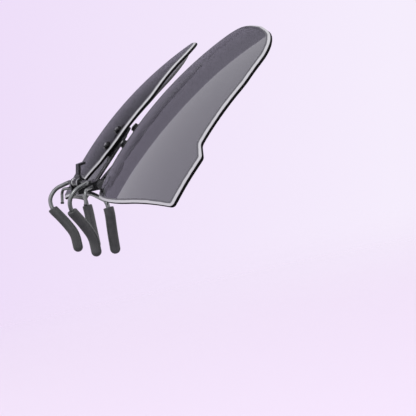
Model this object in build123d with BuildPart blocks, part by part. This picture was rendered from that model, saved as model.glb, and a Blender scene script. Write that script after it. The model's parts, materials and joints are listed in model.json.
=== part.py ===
"""Clip-on flip lenses for spectacles: two rimless tinted lenses on a stamped bridge
bracket, a hinge that swings them 180 degrees, and a sprung wire clamp with four
rubber-sleeved arms that grips the spectacles beside the bridge.

Frame: X runs across the face (wearer's left is +X), -Y is forward, +Z is up.
The origin is the middle of the grip, halfway between front and rear sleeves on the
symmetry plane. The lenses are stored flipped up by FLIP_REST from hanging down.
"""
import os
from math import asin, cos, radians, sin, sqrt, tan

from build123d import *

os.makedirs("parts", exist_ok=True)

# ---- hinge positions (y, z) -------------------------------------------------
HINGE_Y, HINGE_Z = -3.8, 13.5       # flip axle
CLAMP_Y, CLAMP_Z = 0.9, 15.1        # axis the rear arms turn on
FLIP_REST = 132.0                   # degrees the lenses are raised from hanging down

# ---- lenses -----------------------------------------------------------------
LENS_RU, LENS_RV = 70.0, 104.0      # toric front surface: curve across, curve along
LENS_T = 1.1
LENS_FRONT = 3.07                   # front vertex ahead of the flip axle
LENS_U0, LENS_V0 = 25.0, -14.5      # vertex of the curve, sideways and along the lens
LENS_NASAL, LENS_TEMPLE = 9.8, 60.6
LENS_BROW, LENS_FOOT = 4.9, -50.4
EAR_V = -13.0                       # lower end of the wider part at the temple
NOTCH_STEP = 2.6
BEVEL_WIDE, BEVEL_DEEP = 0.8, 0.35   # polished bevel round the lens front
BACK_BEVEL = 0.2

# ---- lens screws ------------------------------------------------------------
SCREW_U = 11.8
SCREW_V = (-11.0, -16.0)
SCREW_R, SCREW_HEAD_R, SCREW_HEAD_H = 0.5, 1.0, 0.35
SCREW_PROUD = 0.15                  # screw end standing out of the nut
WASHER_R, WASHER_T = 1.2, 0.15
NUT_AF, NUT_H = 2.0, 0.7

# ---- bridge bracket ---------------------------------------------------------
PLATE_T = 0.5
PAD_IN, PAD_OUT = 9.3, 13.0         # pads behind the lenses
PAD_TOP, PAD_FOOT = -8.7, -18.3
ARM_RISE = 4.0                      # degrees the arms rise from the pads to the barrel
BARREL_R, BARREL_HALF = 1.4, 4.5

# ---- flip axle --------------------------------------------------------------
AXLE_R = 0.7
AXLE_END = 6.1
RUN = 0.05                          # running clearance, radial
SEAT = 0.02                         # clearance of a seated part, radial

# ---- saddle -----------------------------------------------------------------
SHEET = 0.8
CHEEK_IN = 4.8
WEB_Z = 12.3
WEB_FRONT, WEB_BACK = -1.9, 2.3
HINGE_BOSS, CLAMP_BOSS = 1.3, 1.15

# ---- wire arms --------------------------------------------------------------
WIRE_R = 0.55
SLEEVE_R = 1.3
FRONT_COVER, REAR_COVER = 10.6, 12.4  # length of wire that each sleeve covers
STOP_R = 0.4
STOP_Y, STOP_Z = -1.45, WEB_Z + SHEET + STOP_R

# ---- springs ----------------------------------------------------------------
COIL_X, COIL_R, COIL_WIRE = 3.3, 0.98, 0.17
COIL_TURNS, COIL_PITCH = 3, 0.38
LEAF_T, LEAF_HALF = 0.25, 1.8

MIRROR = Plane.YZ

tilt = radians(FLIP_REST)
# Workplane of the raised lenses: x across, y towards the brow, z out of the lens front.
lens_plane = Plane(
    origin=(0, HINGE_Y, HINGE_Z), x_dir=(1, 0, 0), z_dir=(0, -cos(tilt), sin(tilt))
)


def on_lens(local):
    """A plane given in the raised lenses' own directions."""
    return Plane(lens_plane.location * local.location)


def save(solid, label):
    """Name one piece and write it as its own STEP file."""
    solid.label = label
    export_step(solid, f"parts/{label}.step")


def save_pair(solid, label):
    """Write the +X piece and its mirror image."""
    save(solid, f"{label}_left")
    save(solid.mirror(MIRROR), f"{label}_right")


def screw_plane(u, v):
    """Plane on the toric lens front at a screw, z out of the lens."""
    du = u - LENS_U0
    rise = sqrt(LENS_RU**2 - du**2)
    radius = LENS_RV - LENS_RU + rise
    turn = asin((v - LENS_V0) / radius)
    point = (u, v, LENS_FRONT - LENS_RV + radius * cos(turn))
    normal = (du, rise * sin(turn), rise * cos(turn))
    return on_lens(Plane(origin=point, x_dir=(rise, 0, -du), z_dir=normal))


def curved_sheet(depth, thickness):
    """Sheet parallel to the toric lens front, starting at the given depth behind it."""
    half_sweep = 30.0
    start = radians(-half_sweep)
    axis_point = (0, LENS_V0, LENS_FRONT - LENS_RV)
    section = on_lens(
        Plane(origin=axis_point, x_dir=(1, 0, 0), z_dir=(0, -cos(start), sin(start)))
    )
    turning = Axis(on_lens(Plane(origin=axis_point)).origin, (-1, 0, 0))
    with BuildPart() as sheet:
        with BuildSketch(section):
            with Locations((LENS_U0, LENS_RV - LENS_RU)):
                Circle(LENS_RU - depth)
                Circle(LENS_RU - depth - thickness, mode=Mode.SUBTRACT)
            with Locations((LENS_U0, LENS_RV)):
                Rectangle(90, LENS_RU, mode=Mode.INTERSECT)
        revolve(axis=turning, revolution_arc=2 * half_sweep)
    return sheet.part


screw_planes = [screw_plane(SCREW_U, v) for v in SCREW_V]

# ============================ lenses =========================================
# Each corner of the outline: across, along, corner radius.
lens_corners = [
    (LENS_NASAL + 1.9, -6.1, 5.0),                        # nasal shoulder
    (LENS_NASAL + 9.8, LENS_BROW - 0.6, 7.0),             # inner end of the brow
    (LENS_NASAL + 26.2, LENS_BROW + 0.7, 60.0),           # crest of the brow
    (LENS_TEMPLE - 0.3, 0.0, 1.2),                        # temple corner
    (LENS_TEMPLE, EAR_V, 1.5),                            # foot of the ear
    (LENS_TEMPLE - NOTCH_STEP, EAR_V - NOTCH_STEP, 2.0),  # notch
    (LENS_TEMPLE - 4.9, LENS_FOOT + 17.2, 16.0),
    (LENS_TEMPLE - 9.7, LENS_FOOT + 2.9, 14.0),
    (LENS_TEMPLE - 21.8, LENS_FOOT + 0.5, 7.1),
    (LENS_TEMPLE - 40.1, LENS_FOOT, 13.5),
    (LENS_NASAL + 0.2, LENS_FOOT + 22.0, 11.6),
    (LENS_NASAL, -12.2, 8.0),
]
lens_shell = curved_sheet(0, LENS_T)

with BuildPart() as lens:
    with BuildSketch(lens_plane.offset(-16)) as lens_outline:
        with BuildLine():
            Polyline(*[(u, v) for u, v, r in lens_corners], close=True)
        make_face()
        for u, v, r in lens_corners:
            fillet(lens_outline.vertices().sort_by_distance((u, v, 0))[0], radius=r)
    extrude(amount=26)
    add(lens_shell, mode=Mode.INTERSECT)
    outward = Axis(lens_plane.origin, lens_plane.z_dir)
    lens_front = lens.faces().sort_by(SortBy.AREA)[-2:].sort_by(outward)[-1]
    chamfer(lens_front.outer_wire().edges(), BEVEL_WIDE, BEVEL_DEEP, reference=lens_front)
    lens_back = lens.faces().sort_by(SortBy.AREA)[-1]
    chamfer(lens_back.outer_wire().edges(), length=BACK_BEVEL)
    with Locations(*screw_planes):
        Hole(SCREW_R + RUN)
save_pair(lens.part, "lens")

# Washers and nuts on the lens front, screws from behind through bracket and lens.
with BuildPart() as washer:
    for plane in screw_planes:
        with BuildSketch(plane):
            Circle(WASHER_R)
            Circle(SCREW_R + SEAT, mode=Mode.SUBTRACT)
        extrude(amount=WASHER_T)
    mirror(about=MIRROR)
save(washer.part, "screw_washers")

with BuildPart() as nut:
    for plane in screw_planes:
        with BuildSketch(plane.offset(WASHER_T)):
            RegularPolygon(NUT_AF / 2, 6, major_radius=False)
            Circle(SCREW_R + SEAT, mode=Mode.SUBTRACT)
        extrude(amount=NUT_H)
    for plane in screw_planes:
        top = plane.offset(WASHER_T + NUT_H)
        top_face = nut.faces().filter_by(GeomType.PLANE).sort_by_distance(top.origin)[0]
        chamfer(top_face.outer_wire().edges(), length=0.15)
    mirror(about=MIRROR)
save(nut.part, "lens_nuts")

behind = LENS_T + PLATE_T + 0.01     # the curved pad just clears the flat head
with BuildPart() as screw:
    for plane in screw_planes:
        with BuildSketch(plane.offset(-behind)):
            Circle(SCREW_R)
        extrude(amount=behind + WASHER_T + NUT_H + SCREW_PROUD)
        with BuildSketch(plane.offset(-behind)):
            Circle(SCREW_HEAD_R)
        extrude(amount=-SCREW_HEAD_H)
        head = plane.offset(-behind - SCREW_HEAD_H)
        head_face = screw.faces().filter_by(GeomType.PLANE).sort_by_distance(head.origin)[0]
        fillet(head_face.edges(), radius=0.2)
        with BuildSketch(head):
            Rectangle(0.25, 1.3)
        extrude(amount=0.15, mode=Mode.SUBTRACT)
    mirror(about=MIRROR)
save(screw.part, "lens_screws")

# ============================ bridge bracket =================================
# A curved pad behind each lens and a flat arm from it to the rolled hinge barrel.
pad_sheet = curved_sheet(LENS_T, PLATE_T)
with BuildPart() as pad:
    with BuildSketch(lens_plane.offset(-8)) as pad_outline:
        with BuildLine():
            Polyline(
                (PAD_IN, PAD_TOP - 1.5),
                (PAD_IN + 1.2, PAD_TOP),
                (PAD_OUT, PAD_TOP),
                (PAD_OUT, PAD_FOOT),
                (PAD_IN + 0.8, PAD_FOOT),
                (PAD_IN, PAD_FOOT + 2.0),
                close=True,
            )
        make_face()
        fillet(pad_outline.vertices(), radius=0.8)
    extrude(amount=12)
    add(pad_sheet, mode=Mode.INTERSECT)
    with Locations(*screw_planes):
        Hole(SCREW_R + SEAT)

rise = radians(ARM_RISE)
arm_plane = on_lens(
    Plane(
        origin=(PAD_IN, 0, -0.05),
        x_dir=(cos(rise), 0, -sin(rise)),
        z_dir=(sin(rise), 0, cos(rise)),
    )
)
with BuildPart() as bracket:
    with BuildSketch(arm_plane) as arm_outline:
        with BuildLine():
            Polyline(
                (1.8 - PAD_IN, 0.4),
                (4.3 - PAD_IN, 0.4),
                (4.3 - PAD_IN, -1.9),
                (0.3, PAD_TOP - 0.5),
                (0.3, PAD_FOOT + 2.4),
                (-0.6, PAD_FOOT + 3.4),
                (2.4 - PAD_IN, -2.4),
                close=True,
            )
        make_face()
    extrude(amount=-PLATE_T)
    add(pad.part)
    mirror(about=MIRROR)
    with BuildSketch(Plane.YZ.offset(-BARREL_HALF)):
        with Locations((HINGE_Y, HINGE_Z)):
            Circle(BARREL_R)
    extrude(amount=2 * BARREL_HALF)
    with Locations(lens_plane.location):
        for flat in (-1, 1):
            with Locations((0, 0.9, flat * (BARREL_R + 0.35))):
                Box(2 * LEAF_HALF + 0.8, 1.6, 1.0, mode=Mode.SUBTRACT)
    with BuildSketch(Plane.YZ.offset(-BARREL_HALF)):
        with Locations((HINGE_Y, HINGE_Z)):
            Circle(AXLE_R + RUN)
    extrude(amount=2 * BARREL_HALF, mode=Mode.SUBTRACT)
save(bracket.part, "bridge_bracket")

# ============================ flip axle ======================================
with BuildPart() as axle:
    with BuildSketch(Plane.YZ.offset(-AXLE_END)):
        with Locations((HINGE_Y, HINGE_Z)):
            Circle(AXLE_R)
    extrude(amount=2 * AXLE_END)
    with BuildSketch(Plane.YZ.offset(AXLE_END - 0.45)):
        with Locations((HINGE_Y, HINGE_Z)):
            Circle(AXLE_R + 0.4)
    extrude(amount=0.45)
    fillet(axle.faces().sort_by(Axis.X)[-1].edges(), radius=0.3)
save(axle.part, "flip_axle")

with BuildPart() as axle_ring:
    with BuildSketch(Plane.YZ.offset(-AXLE_END + 0.05)):
        with Locations((HINGE_Y, HINGE_Z)):
            Circle(AXLE_R + 0.45)
            Circle(AXLE_R + SEAT, mode=Mode.SUBTRACT)
    extrude(amount=AXLE_END - 0.05 - CHEEK_IN - SHEET - 0.02)
save(axle_ring.part, "axle_retaining_ring")

with BuildPart() as friction_washer:
    with BuildSketch(Plane.YZ.offset(BARREL_HALF + 0.02)):
        with Locations((HINGE_Y, HINGE_Z)):
            Circle(BARREL_R - 0.1)
            Circle(AXLE_R + SEAT, mode=Mode.SUBTRACT)
    extrude(amount=CHEEK_IN - BARREL_HALF - 0.04)
    mirror(about=MIRROR)
save(friction_washer.part, "hinge_washers")

# ============================ saddle =========================================
with BuildPart() as saddle:
    with BuildSketch(Plane.YZ.offset(CHEEK_IN)) as cheek:
        with BuildLine():
            Polyline(
                (HINGE_Y - 0.9, HINGE_Z - 0.9),
                (HINGE_Y + 1.0, WEB_Z),
                (WEB_BACK, WEB_Z),
                (CLAMP_Y + CLAMP_BOSS, CLAMP_Z),
                (CLAMP_Y, CLAMP_Z + CLAMP_BOSS),
                (STOP_Y, STOP_Z + 0.95),
                (HINGE_Y, HINGE_Z + HINGE_BOSS),
                close=True,
            )
        make_face()
        with Locations((HINGE_Y, HINGE_Z)):
            Circle(HINGE_BOSS)
        with Locations((CLAMP_Y, CLAMP_Z)):
            Circle(CLAMP_BOSS)
        with Locations((HINGE_Y, HINGE_Z)):
            Circle(AXLE_R + SEAT, mode=Mode.SUBTRACT)
        with Locations((CLAMP_Y, CLAMP_Z)):
            Circle(WIRE_R + RUN, mode=Mode.SUBTRACT)
        with Locations((STOP_Y, STOP_Z)):
            Circle(STOP_R + SEAT, mode=Mode.SUBTRACT)
    extrude(amount=SHEET)
    mirror(about=MIRROR)
    with BuildSketch(Plane.XY.offset(WEB_Z)):
        with Locations((0, (WEB_FRONT + WEB_BACK) / 2)):
            Rectangle(2 * CHEEK_IN + 0.2, WEB_BACK - WEB_FRONT)
        with Locations((0, 0.9)):
            Circle(0.5 + SEAT, mode=Mode.SUBTRACT)
    extrude(amount=SHEET)
save(saddle.part, "saddle")

# Leaf spring that presses on the flats of the bracket barrel, and its rivet.
leaf_z = WEB_Z + SHEET
with BuildPart() as leaf:
    with BuildSketch(Plane.YZ.offset(-LEAF_HALF)) as leaf_side:
        with BuildLine() as leaf_line:
            run = Polyline(
                (1.9, leaf_z + LEAF_T / 2 + 0.01),
                (HINGE_Y + 1.95, leaf_z + LEAF_T / 2 + 0.01),
                (HINGE_Y + 1.62, leaf_z + 0.6),
                (HINGE_Y + 1.62, leaf_z + 1.7),
            )
            offset(run, amount=LEAF_T / 2, side=Side.BOTH, kind=Kind.INTERSECTION)
        make_face(leaf_line.edges())
    extrude(amount=2 * LEAF_HALF)
    with Locations((0, 0.9, leaf_z)):
        Cylinder(0.5 + SEAT, 2, mode=Mode.SUBTRACT)
save(leaf.part, "detent_spring")

with BuildPart() as leaf_rivet:
    with BuildSketch(Plane.XY.offset(WEB_Z - 0.3)):
        with Locations((0, 0.9)):
            Circle(0.9)
    extrude(amount=0.3)
    with BuildSketch(Plane.XY.offset(WEB_Z)):
        with Locations((0, 0.9)):
            Circle(0.5)
    extrude(amount=SHEET + LEAF_T + 0.02)
save(leaf_rivet.part, "detent_rivet")

# ============================ wire arms ======================================
FRONT_ARM = [
    (0.8, -1.0, WEB_Z - WIRE_R),
    (6.4, -1.0, WEB_Z - WIRE_R),
    (15.8, -2.5, 9.7),
    (15.9, -2.7, 6.6),
    (14.8, -2.45, 1.8),
    (14.2, -2.35, -2.4),
]
REAR_ARM = [
    (0.3, CLAMP_Y, CLAMP_Z),
    (14.7, CLAMP_Y, CLAMP_Z),
    (16.6, 4.6, 14.1),
    (16.6, 6.6, 12.0),
    (16.2, 6.7, 9.4),
    (15.2, 4.3, 5.6),
    (14.3, 2.4, 1.6),
    (14.2, 2.4, -2.0),
]
STOP_ARM = [
    (3.4, STOP_Y, STOP_Z),
    (6.6, STOP_Y, STOP_Z),
    (18.9, 2.6, STOP_Z),
    (18.8, 3.2, 10.2),
]


def bent_wire(points):
    """Centre line of bent wire: straight runs joined by the largest even bends."""
    runs = [Vector(*b) - Vector(*a) for a, b in zip(points[:-1], points[1:])]
    bends = []
    for before, after in zip(runs[:-1], runs[1:]):
        half_turn = radians(before.get_angle(after)) / 2
        bends.append(0.45 * min(before.length, after.length) / tan(half_turn))
    return FilletPolyline(*points, radius=bends)


def build_arm(points, cover, label):
    """Steel wire and the rubber sleeve over the given length of its lower end."""
    line = bent_wire(points)
    covered = line.trim(1 - cover / line.length, 1.0)
    with BuildPart() as wire:
        with BuildSketch(Plane(origin=line @ 0, z_dir=line % 0)):
            Circle(WIRE_R)
        sweep(path=line)
    with BuildPart() as sleeve:
        with BuildSketch(Plane(origin=covered @ 0, z_dir=covered % 0)):
            Circle(SLEEVE_R)
        sweep(path=covered)
        with Locations(covered @ 1):
            Sphere(SLEEVE_R)
        fillet(sleeve.faces().sort_by_distance(covered @ 0)[0].edges(), radius=0.25)
        with BuildSketch(Plane(origin=covered @ 0, z_dir=covered % 0)):
            Circle(WIRE_R + SEAT)
        sweep(path=covered, mode=Mode.SUBTRACT)
    save_pair(wire.part, f"{label}_wire")
    save_pair(sleeve.part, f"{label}_sleeve")


build_arm(FRONT_ARM, FRONT_COVER, "front")
build_arm(REAR_ARM, REAR_COVER, "rear")

stop_line = bent_wire(STOP_ARM)
with BuildPart() as stop_wire:
    with BuildSketch(Plane(origin=stop_line @ 0, z_dir=stop_line % 0)):
        Circle(STOP_R)
    sweep(path=stop_line)
save_pair(stop_wire.part, "stop_wire")

stop_end = Plane(origin=stop_line @ 1, z_dir=stop_line % 1)
with BuildPart() as stop_tip:
    with BuildSketch(stop_end.offset(0.01)):
        Circle(STOP_R + 0.08)
    extrude(amount=0.5)
    fillet(stop_tip.faces().sort_by(Axis.Z)[0].edges(), radius=0.2)
    mirror(about=MIRROR)
save(stop_tip.part, "stop_tips")

# ============================ clamp lever ====================================
with BuildPart() as lever:
    with BuildSketch(Plane.YZ.offset(-3.0)):
        with Locations((CLAMP_Y, CLAMP_Z)):
            Circle(1.05)
    extrude(amount=6.0)
    with BuildSketch(Plane.YZ.offset(-2.2)) as tongue_side:
        with BuildLine() as tongue_line:
            tongue = Polyline(
                (CLAMP_Y - 0.1, CLAMP_Z + 0.8),
                (0.35, 17.4),
                (-0.1, 19.4),
                (-1.5, 19.6),
            )
            offset(tongue, amount=0.3, side=Side.BOTH, kind=Kind.INTERSECTION)
        make_face(tongue_line.edges())
    extrude(amount=4.4)
    with BuildSketch(Plane.XZ.offset(-CLAMP_Y)):
        with Locations((0, CLAMP_Z + 1.3)):
            RectangleRounded(7.0, 1.2, 0.4)
    extrude(amount=0.6)
    with BuildSketch(Plane.YZ.offset(-3.0)):
        with Locations((CLAMP_Y, CLAMP_Z)):
            Circle(WIRE_R + SEAT)
    extrude(amount=6.0, mode=Mode.SUBTRACT)
save(lever.part, "clamp_lever")

# ============================ torsion springs ================================
# Coils wound on the rear arms: the inner leg bears on the lever, the outer on the web.
coil_frame = Plane(origin=(COIL_X, CLAMP_Y, CLAMP_Z), x_dir=(0, -1, 0), z_dir=(1, 0, 0))
coil = coil_frame.location * Helix(COIL_PITCH, COIL_PITCH * COIL_TURNS, COIL_R)
lap = 0.08
leg_up = Plane(origin=coil @ 0 - Vector(0, 0, lap))
leg_down = Plane(origin=coil @ 1 + Vector(0, 0, lap), z_dir=(0, 0, -1))
with BuildPart() as spring:
    with BuildSketch(Plane(origin=coil @ 0, z_dir=coil % 0)):
        Circle(COIL_WIRE)
    sweep(path=coil)
    for leg, length in ((leg_up, 1.6), (leg_down, CLAMP_Z - WEB_Z - SHEET + lap - 0.02)):
        with BuildSketch(leg):
            Circle(COIL_WIRE - 0.01)
        extrude(amount=length)
    mirror(about=MIRROR)
save(spring.part, "torsion_springs")
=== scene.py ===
"""Looks of the clip-on flip lenses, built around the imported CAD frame."""
import json
import math

import bpy
from mathutils import Matrix, Vector


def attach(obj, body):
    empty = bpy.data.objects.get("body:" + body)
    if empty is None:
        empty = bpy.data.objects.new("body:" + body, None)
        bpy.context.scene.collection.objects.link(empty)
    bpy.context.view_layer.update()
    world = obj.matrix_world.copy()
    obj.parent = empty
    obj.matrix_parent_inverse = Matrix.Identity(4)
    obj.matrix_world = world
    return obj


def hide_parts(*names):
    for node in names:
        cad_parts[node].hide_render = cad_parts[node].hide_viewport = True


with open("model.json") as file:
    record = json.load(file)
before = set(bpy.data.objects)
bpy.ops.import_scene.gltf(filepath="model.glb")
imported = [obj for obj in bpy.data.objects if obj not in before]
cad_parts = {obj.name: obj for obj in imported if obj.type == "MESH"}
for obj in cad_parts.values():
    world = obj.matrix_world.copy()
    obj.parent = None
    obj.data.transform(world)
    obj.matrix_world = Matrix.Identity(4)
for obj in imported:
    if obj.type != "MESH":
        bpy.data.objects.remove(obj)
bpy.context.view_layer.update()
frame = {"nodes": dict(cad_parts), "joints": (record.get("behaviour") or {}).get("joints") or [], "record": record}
nodes = frame["nodes"]
flip_joint = next(j for j in frame["joints"] if j["name"] == "lens_flip")

MM = 1000.0                             # millimetres in a metre

# Lens shape, in mm, in the lens's own directions: across, along, out of the front.
LENS_RU, LENS_RV = 70.0, 104.0          # toric front surface: curve across, curve along
LENS_T = 1.1
LENS_FRONT = 3.07                       # front vertex ahead of the flip axle
LENS_U0, LENS_V0 = 25.0, -14.5          # vertex of the curve, sideways and along the lens
FLIP_TILT = math.radians(-flip_joint["range_deg"][0])
HINGE_Y, HINGE_Z = (c * MM for c in flip_joint["pos_m"][1:])

# Depths behind the lens front, in mm.
EDGE_SKIN = 0.03                        # a face this near the front or back is a lens face
EDGE_GREY = 0.14                        # the edge is glass grey down to this depth
EDGE_SHADE_FROM = 0.42                       # then light grey, a ground edge with a painted highlight, down to this one, and black painted shade behind it
EDGE_WAVER = 0.02                       # how far the lines between the tones wander
GREY_BLUR, LIGHT_BLUR = 0.02, 0.015     # half width of the change from one tone to the next

# Span that most values of a noise fall in, and of the sum of two noises.
NOISE_SPAN = (0.3, 0.7)
NOISE_PAIR_SPAN = (0.7, 1.3)

# Stage and camera, in metres and degrees.
FLOOR_Z = -0.12
FLOOR_SIZE = 3.0
FLOOR_FADE = (0.45, 1.30)               # the floor melts into the backdrop between these radii
FLOOR_TONE = (0.747, 0.655, 0.778)

CAM_AZIMUTH, CAM_ELEVATION, CAM_ROLL = -102.745, 3.890, -12.282
CAM_DISTANCE = 0.46919
CAM_TARGET = (0, -0.03081, 0.00117)
CAM_CLIP = (0.01, 20)
CAM_LENS, CAM_SENSOR = 156.8, 36        # mm


# ---------------------------------------------------------------- camera
def add_camera(azimuth, elevation, roll):
    """Camera looking at CAM_TARGET; azimuth 0 looks along +Y, roll turns it about its view.

    Returns the directions to the picture's right and into the picture.
    """
    az, el, ro = (math.radians(a) for a in (azimuth, elevation, roll))
    back = Vector((math.sin(az) * math.cos(el), -math.cos(az) * math.cos(el), math.sin(el)))
    right = (-back).cross(Vector((0, 0, 1))).normalized()
    up = right.cross(-back)
    cam_right = right * math.cos(ro) + up * math.sin(ro)
    cam_up = up * math.cos(ro) - right * math.sin(ro)
    data = bpy.data.cameras.new("camera")
    data.lens = CAM_LENS
    data.sensor_width = CAM_SENSOR
    data.clip_start, data.clip_end = CAM_CLIP
    cam = bpy.data.objects.new("camera", data)
    spin = Matrix((cam_right, cam_up, back)).transposed().to_4x4()
    cam.matrix_world = Matrix.Translation(Vector(CAM_TARGET) + back * CAM_DISTANCE) @ spin
    bpy.context.scene.collection.objects.link(cam)
    bpy.context.scene.camera = cam
    return cam_right, -back


photo_right, photo_view = add_camera(CAM_AZIMUTH, CAM_ELEVATION, CAM_ROLL)


# ---------------------------------------------------------------- node helpers
def add_node(tree, kind, inputs=None, **settings):
    """A node with its settings made and each input set to a value or linked to a socket."""
    made = tree.nodes.new(kind)
    for key, value in settings.items():
        setattr(made, key, value)
    for key, value in (inputs or {}).items():
        if isinstance(value, bpy.types.NodeSocket):
            tree.links.new(value, made.inputs[key])
        else:
            made.inputs[key].default_value = value
    return made


def calc(tree, operation, *values):
    return add_node(tree, "ShaderNodeMath", dict(enumerate(values)), operation=operation).outputs[0]


def remap(tree, value, low, high, start=0.0, end=1.0):
    """Value clamped to low..high and stretched to start..end."""
    made = add_node(
        tree,
        "ShaderNodeMapRange",
        {"Value": value, "From Min": low, "From Max": high, "To Min": start, "To Max": end},
        clamp=True,
    )
    return made.outputs["Result"]


def mix_colour(tree, factor, first, second):
    """First colour where the factor is 0, second where it is 1."""
    input_a, input_b, colour_result = 6, 7, 2      # the Mix node's colour sockets
    made = add_node(tree, "ShaderNodeMix", {0: factor}, data_type="RGBA")
    for index, colour in ((input_a, first), (input_b, second)):
        if isinstance(colour, bpy.types.NodeSocket):
            tree.links.new(colour, made.inputs[index])
        else:
            made.inputs[index].default_value = (*colour, 1)
    return made.outputs[colour_result]


def dot(tree, first, second):
    made = add_node(tree, "ShaderNodeVectorMath", {0: first, 1: second}, operation="DOT_PRODUCT")
    return made.outputs["Value"]


def object_place(tree, stretch=(1, 1, 1)):
    """Position on the piece in mm, squeezed or drawn out along the frame's axes."""
    place = add_node(tree, "ShaderNodeTexCoord").outputs["Object"]
    scaled = add_node(
        tree,
        "ShaderNodeVectorMath",
        {0: place, 1: tuple(MM * s for s in stretch)},
        operation="MULTIPLY",
    )
    return scaled.outputs[0]


def noise(tree, place, per_mm, detail=3.0, roughness=0.55):
    made = add_node(
        tree,
        "ShaderNodeTexNoise",
        {"Vector": place, "Scale": per_mm, "Detail": detail, "Roughness": roughness},
    )
    return made.outputs[0]


def bump(tree, height, strength, depth_mm):
    inputs = {"Height": height, "Strength": strength, "Distance": depth_mm / MM}
    return add_node(tree, "ShaderNodeBump", inputs).outputs["Normal"]


def edge_wear(tree, place, radius_mm, patch_per_mm):
    """1 on sharp outer edges and 0 elsewhere, broken up by a noise."""
    rounded = add_node(tree, "ShaderNodeBevel", {"Radius": radius_mm / MM}, samples=6)
    flat = add_node(tree, "ShaderNodeNewGeometry").outputs["Normal"]
    agree = dot(tree, rounded.outputs[0], flat)
    unworn, worn = 0.97, 0.75           # cosines of the angle between the two normals
    edge = remap(tree, agree, unworn, worn)
    patch_span = (0.38, 0.62)
    patches = remap(tree, noise(tree, place, patch_per_mm, detail=4.0), *patch_span)
    return calc(tree, "MULTIPLY", edge, patches)


def new_material(name, **constants):
    """Material with one Principled shader; constants go straight on its sockets."""
    mat = bpy.data.materials.new(name)
    mat.use_nodes = True
    shader = mat.node_tree.nodes["Principled BSDF"]
    for key, value in constants.items():
        socket = shader.inputs[key.replace("_", " ")]
        socket.default_value = (*value, 1) if isinstance(value, tuple) else value
    return mat, mat.node_tree, shader


def wire_up(tree, shader, colour, roughness, normal):
    tree.links.new(colour, shader.inputs["Base Color"])
    tree.links.new(roughness, shader.inputs["Roughness"])
    tree.links.new(normal, shader.inputs["Normal"])


# ---------------------------------------------------------------- lens materials
def lens_depth(tree):
    """Depth behind the toric lens front, in mm: 0 on the front, LENS_T on the back."""
    split = add_node(tree, "ShaderNodeSeparateXYZ", {0: object_place(tree)})
    across = calc(tree, "SUBTRACT", calc(tree, "ABSOLUTE", split.outputs[0]), LENS_U0)
    y = calc(tree, "SUBTRACT", split.outputs[1], HINGE_Y)
    z = calc(tree, "SUBTRACT", split.outputs[2], HINGE_Z)

    def turned(y_part, z_part, offset):
        total = calc(tree, "MULTIPLY_ADD", y, y_part, calc(tree, "MULTIPLY", z, z_part))
        return calc(tree, "SUBTRACT", total, offset)

    def length(a, b):
        squares = calc(tree, "MULTIPLY_ADD", a, a, calc(tree, "MULTIPLY", b, b))
        return calc(tree, "SQRT", squares)

    along = turned(math.sin(FLIP_TILT), math.cos(FLIP_TILT), LENS_V0)
    out = turned(-math.cos(FLIP_TILT), math.sin(FLIP_TILT), LENS_FRONT - LENS_RV)
    ring = calc(tree, "SUBTRACT", length(along, out), LENS_RV - LENS_RU)
    return calc(tree, "SUBTRACT", LENS_RU, length(across, ring))


def tinted_lens():
    """Grey-tinted glass: faint clouds in the tint, wiped smears, a slow ripple."""
    tints = ((0.142, 0.151, 0.155), (0.162, 0.171, 0.175))
    smear_span = (0.35, 0.75)
    mat, tree, shader = new_material(
        "tinted_lens", Transmission_Weight=1.0, IOR=1.5, Specular_IOR_Level=0.5
    )
    place = object_place(tree)
    cloud = noise(tree, place, per_mm=0.05, detail=2.0)
    colour = mix_colour(tree, cloud, *tints)
    wiped = object_place(tree, stretch=(0.25, 1.0, 1.0))
    smear = noise(tree, wiped, per_mm=0.35, detail=5.0, roughness=0.65)
    roughness = remap(tree, smear, *smear_span, start=0.004, end=0.018)
    ripple = noise(tree, place, per_mm=0.12, detail=1.0)
    wire_up(tree, shader, colour, roughness, bump(tree, ripple, strength=0.02, depth_mm=0.004))
    return mat


def lens_edge():
    """Ground edge: glass grey beside the front, then light grey with a painted highlight, then black painted shade
    at the back.
    """
    grey_tones = ((0.085, 0.083, 0.095), (0.115, 0.113, 0.125))
    # light grey of the frosted ground edge, with a painted highlight in it
    ground_and_highlight_tones = ((0.38, 0.38, 0.39), (0.48, 0.48, 0.49))
    # near black tones of the painted shade on the back of the edge
    painted_shade_tones = ((0.001, 0.001, 0.001), (0.004, 0.004, 0.004))
    rougher_in_painted_shade = 0.35
    grind_lines_per_mm = 14.0
    mat, tree, shader = new_material("lens_edge", Specular_IOR_Level=0.08)
    place = object_place(tree)
    depth = lens_depth(tree)
    wander = noise(tree, place, per_mm=0.6, detail=2.0)
    waver = remap(tree, wander, *NOISE_SPAN, start=-EDGE_WAVER, end=EDGE_WAVER)
    wavy_depth = calc(tree, "ADD", depth, waver)
    # mask of the light grey band: ground edge and painted highlight
    light = remap(tree, wavy_depth, EDGE_GREY - GREY_BLUR, EDGE_GREY + GREY_BLUR)
    # mask of the black painted shade on the back part of the edge
    painted_shade_mask = remap(tree, wavy_depth, EDGE_SHADE_FROM - LIGHT_BLUR, EDGE_SHADE_FROM + LIGHT_BLUR)
    speckle = noise(tree, place, per_mm=9.0)
    grey_tone = mix_colour(tree, speckle, *grey_tones)
    ground_and_highlight_tone = mix_colour(tree, speckle, *ground_and_highlight_tones)
    painted_shade_tone = mix_colour(tree, speckle, *painted_shade_tones)
    colour = mix_colour(tree, painted_shade_mask, mix_colour(tree, light, grey_tone, ground_and_highlight_tone), painted_shade_tone)
    ground = remap(tree, speckle, *NOISE_SPAN, start=0.30, end=0.48)
    rough = calc(tree, "MULTIPLY_ADD", painted_shade_mask, rougher_in_painted_shade, ground)
    grind = add_node(
        tree,
        "ShaderNodeTexNoise",
        {"W": calc(tree, "MULTIPLY", depth, grind_lines_per_mm), "Scale": 1.0, "Detail": 2.0},
        noise_dimensions="1D",
    ).outputs[0]
    wire_up(tree, shader, colour, rough, bump(tree, grind, strength=0.35, depth_mm=0.01))
    return mat


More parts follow.
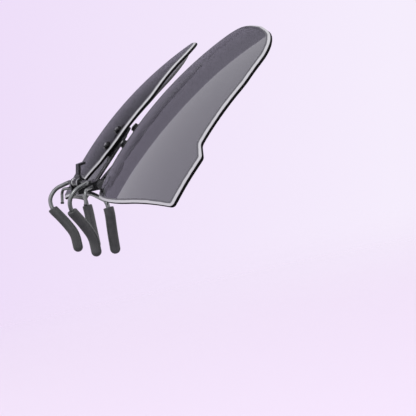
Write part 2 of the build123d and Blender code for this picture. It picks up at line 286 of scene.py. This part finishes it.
# ---------------------------------------------------------------- metal, nylon, rubber
def worn_metal(name, tones, worn_tone, roughness, grain, wear_radius, metallic):
    """Plated steel: two tones clouded together, bare metal showing along worn edges."""
    fine_share = 0.6
    mat, tree, shader = new_material(name, Metallic=metallic)
    place = object_place(tree)
    cloud = noise(tree, place, per_mm=0.7, detail=4.0)
    plated = mix_colour(tree, remap(tree, cloud, *NOISE_SPAN), *tones)
    wear = edge_wear(tree, place, wear_radius, patch_per_mm=2.5)
    colour = mix_colour(tree, wear, plated, worn_tone)
    fine = noise(tree, place, per_mm=grain)
    rough = remap(tree, calc(tree, "ADD", fine, cloud), *NOISE_PAIR_SPAN, *roughness)
    drawn_out = object_place(tree, stretch=(0.15, 1.0, 1.0))
    scratches = noise(tree, drawn_out, per_mm=grain, detail=2.0)
    height = calc(tree, "ADD", calc(tree, "MULTIPLY", fine, fine_share), scratches)
    wire_up(tree, shader, colour, rough, bump(tree, height, strength=0.25, depth_mm=0.006))
    return mat


def drawn_wire(name, tones, roughness, line_per_mm):
    """Drawn wire: fine die lines, slight tarnish."""
    mat, tree, shader = new_material(name, Metallic=1.0)
    place = object_place(tree)
    tarnish = noise(tree, place, per_mm=0.45, detail=4.0)
    colour = mix_colour(tree, remap(tree, tarnish, *NOISE_SPAN), *tones)
    drawn_out = object_place(tree, stretch=(1.0, 1.0, 0.08))
    lines = noise(tree, drawn_out, per_mm=line_per_mm, detail=2.0)
    fine = noise(tree, place, per_mm=5.0)
    rough = remap(tree, calc(tree, "ADD", lines, fine), *NOISE_PAIR_SPAN, *roughness)
    wire_up(tree, shader, colour, rough, bump(tree, lines, strength=0.22, depth_mm=0.006))
    return mat


def moulded(name, tones, roughness, grain, depth_mm, specular):
    """Moulded rubber or nylon: fine grained skin, dusty patches."""
    dust_span = (0.35, 0.7)
    pore_scale, pore_share = 0.8, 0.5
    mat, tree, shader = new_material(name, Specular_IOR_Level=specular)
    place = object_place(tree)
    dust = noise(tree, place, per_mm=0.5, detail=5.0, roughness=0.6)
    colour = mix_colour(tree, remap(tree, dust, *dust_span), *tones)
    skin = noise(tree, place, per_mm=grain, detail=4.0, roughness=0.6)
    rough = remap(tree, calc(tree, "ADD", skin, dust), *NOISE_PAIR_SPAN, *roughness)
    pores = add_node(
        tree, "ShaderNodeTexVoronoi", {"Vector": place, "Scale": grain * pore_scale}
    ).outputs["Distance"]
    height = calc(tree, "MULTIPLY_ADD", pores, pore_share, skin)
    wire_up(tree, shader, colour, rough, bump(tree, height, strength=0.5, depth_mm=depth_mm))
    return mat


black_steel = worn_metal(
    "black_steel",
    tones=((0.011, 0.011, 0.012), (0.028, 0.028, 0.031)),
    worn_tone=(0.32, 0.32, 0.33),
    roughness=(0.18, 0.34),
    grain=7.0,
    wear_radius=0.10,
    metallic=0.85,
)
black_nut = worn_metal(
    "black_nut",
    tones=((0.006, 0.006, 0.007), (0.016, 0.016, 0.018)),
    worn_tone=(0.42, 0.42, 0.43),
    roughness=(0.12, 0.26),
    grain=9.0,
    wear_radius=0.07,
    metallic=0.85,
)
turned_steel = worn_metal(
    "turned_steel",
    tones=((0.42, 0.42, 0.43), (0.55, 0.55, 0.56)),
    worn_tone=(0.72, 0.72, 0.72),
    roughness=(0.20, 0.36),
    grain=12.0,
    wear_radius=0.05,
    metallic=1.0,
)
pin_steel = worn_metal(
    "pin_steel",
    tones=((0.07, 0.07, 0.075), (0.13, 0.13, 0.135)),
    worn_tone=(0.42, 0.42, 0.42),
    roughness=(0.22, 0.38),
    grain=10.0,
    wear_radius=0.08,
    metallic=1.0,
)
gunmetal = drawn_wire(
    "gunmetal_wire",
    tones=((0.150, 0.156, 0.158), (0.235, 0.240, 0.242)),
    roughness=(0.20, 0.34),
    line_per_mm=4.0,
)
spring = drawn_wire(
    "spring_steel",
    tones=((0.27, 0.27, 0.28), (0.42, 0.42, 0.43)),
    roughness=(0.20, 0.36),
    line_per_mm=7.0,
)
nylon = moulded(
    "nylon",
    tones=((0.010, 0.010, 0.011), (0.022, 0.022, 0.024)),
    roughness=(0.34, 0.50),
    grain=6.0,
    depth_mm=0.01,
    specular=0.4,
)
rubber = moulded(
    "rubber_sleeve",
    tones=((0.028, 0.030, 0.030), (0.046, 0.048, 0.048)),
    roughness=(0.36, 0.54),
    grain=5.0,
    depth_mm=0.015,
    specular=0.5,
)

slot_material = {
    "black_steel": black_steel,
    "gunmetal_wire": gunmetal,
    "screw_steel": pin_steel,
    "spring_steel": spring,
    "nylon": nylon,
    "rubber_sleeve": rubber,
}
own_material = {"lens_nuts": black_nut, "lens_screws": turned_steel}


def paint(piece, material):
    piece.data.materials.clear()
    piece.data.materials.append(material)


# ---------------------------------------------------------------- pieces
glass, edge = tinted_lens(), lens_edge()


def depth_of(point):
    """The same depth as lens_depth, of one point in metres."""
    y, z = point[1] * MM - HINGE_Y, point[2] * MM - HINGE_Z
    along = y * math.sin(FLIP_TILT) + z * math.cos(FLIP_TILT) - LENS_V0
    out = -y * math.cos(FLIP_TILT) + z * math.sin(FLIP_TILT) - (LENS_FRONT - LENS_RV)
    ring = math.hypot(along, out) - (LENS_RV - LENS_RU)
    return LENS_RU - math.hypot(abs(point[0]) * MM - LENS_U0, ring)


def add_lens(side):
    """Lens with polished faces and a ground edge in their own materials."""
    mesh = nodes[f"lens_{side}"].data.copy()
    mesh.name = f"tinted_lens_{side}"
    mesh.materials.clear()
    for material in (glass, edge):
        mesh.materials.append(material)
    for face in mesh.polygons:
        depth = depth_of(face.center)
        face.material_index = int(EDGE_SKIN < depth < LENS_T - EDGE_SKIN)
    lens = bpy.data.objects.new(f"tinted_lens_{side}", mesh)
    bpy.context.scene.collection.objects.link(lens)
    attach(lens, "flip_lenses")
    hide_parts(f"lens_{side}")


for subpart in frame["record"]["subparts"]:
    name, slot = subpart["node"], subpart["material_slot"]
    if slot == "tinted_lens":
        add_lens(name.removeprefix("lens_"))
    else:
        paint(nodes[name], own_material.get(name, slot_material[slot]))


# ---------------------------------------------------------------- stage
def add_floor():
    """Pale matt floor that fades to nothing away from the object."""
    bpy.ops.mesh.primitive_plane_add(size=FLOOR_SIZE, location=(0, 0, FLOOR_Z))
    floor = bpy.context.object
    floor.name = "floor"
    floor.visible_glossy = False
    mat, tree, shader = new_material("floor_paint", Roughness=0.85, Base_Color=FLOOR_TONE)
    place = add_node(tree, "ShaderNodeTexCoord").outputs["Object"]
    radius = add_node(tree, "ShaderNodeVectorMath", {0: place}, operation="LENGTH")
    inner, outer = FLOOR_FADE
    fade = add_node(
        tree,
        "ShaderNodeMapRange",
        {"Value": radius.outputs["Value"], "From Min": inner, "From Max": outer},
        interpolation_type="SMOOTHERSTEP",
    )
    clear = add_node(tree, "ShaderNodeBsdfTransparent")
    faded = add_node(
        tree,
        "ShaderNodeMixShader",
        {0: fade.outputs["Result"], 1: shader.outputs[0], 2: clear.outputs[0]},
    )
    tree.links.new(faded.outputs[0], tree.nodes["Material Output"].inputs["Surface"])
    floor.data.materials.append(mat)


# ---------------------------------------------------------------- light
def add_world():
    """Soft studio all round with one dark flag; the camera sees a pale lilac backdrop."""
    flag_axis = (0.9498, -0.0342, 0.3109)
    flag_edge = (0.897, 0.903)              # cosines of the angle from the flag's middle
    flag_dark, flag_bright = 0.08, 0.21     # strength, brightest straight into the picture
    glow_start, glow_full = 0.75, 1.0       # cosines of the angle from that direction
    low_sky, high_sky = -0.5, 0.2           # sines of elevation
    dim, bright = 0.25, 1.25                # strength of the studio below and above those
    studio_tone, flag_tone = (0.97, 0.955, 1.0), (1.0, 0.92, 1.17)
    left_tone, right_tone = (0.855, 0.730, 0.945), (0.915, 0.845, 0.978)
    picture_left, picture_right = -0.12, 0.10

    world = bpy.data.worlds.new("studio")
    world.use_nodes = True
    tree = world.node_tree
    direction = add_node(tree, "ShaderNodeTexCoord").outputs["Generated"]

    def towards(axis):
        return dot(tree, direction, tuple(axis))

    height = remap(tree, towards((0, 0, 1)), low_sky, high_sky, dim, bright)
    glow = remap(tree, towards(photo_view), glow_start, glow_full, flag_dark, flag_bright)
    in_flag = remap(tree, towards(flag_axis), *flag_edge)
    shade = remap(tree, in_flag, 0.0, 1.0, start=1.0, end=glow)
    studio = add_node(
        tree,
        "ShaderNodeBackground",
        {
            "Color": mix_colour(tree, in_flag, studio_tone, flag_tone),
            "Strength": calc(tree, "MULTIPLY", height, shade),
        },
    )
    sideways = remap(tree, towards(photo_right), picture_left, picture_right)
    backdrop = add_node(
        tree,
        "ShaderNodeBackground",
        {"Color": mix_colour(tree, sideways, left_tone, right_tone), "Strength": 1.0},
    )
    path = add_node(tree, "ShaderNodeLightPath")
    seen = calc(
        tree, "MAXIMUM", path.outputs["Is Camera Ray"], path.outputs["Is Transmission Ray"]
    )
    both = add_node(
        tree, "ShaderNodeMixShader", {0: seen, 1: studio.outputs[0], 2: backdrop.outputs[0]}
    )
    tree.links.new(both.outputs[0], tree.nodes["World Output"].inputs["Surface"])
    bpy.context.scene.world = world


def add_softbox(name, place, size, power):
    """Square area light aimed at the frame's origin."""
    data = bpy.data.lights.new(name, "AREA")
    data.shape = "SQUARE"
    data.size, data.energy = size, power
    light = bpy.data.objects.new(name, data)
    light.location = place
    light.rotation_euler = (-Vector(place)).to_track_quat("-Z", "Y").to_euler()
    bpy.context.scene.collection.objects.link(light)


add_floor()
add_world()
add_softbox("key_softbox", place=(-0.35, 0.25, 0.60), size=0.30, power=1.6)

bpy.context.scene.view_settings.view_transform = "Standard"
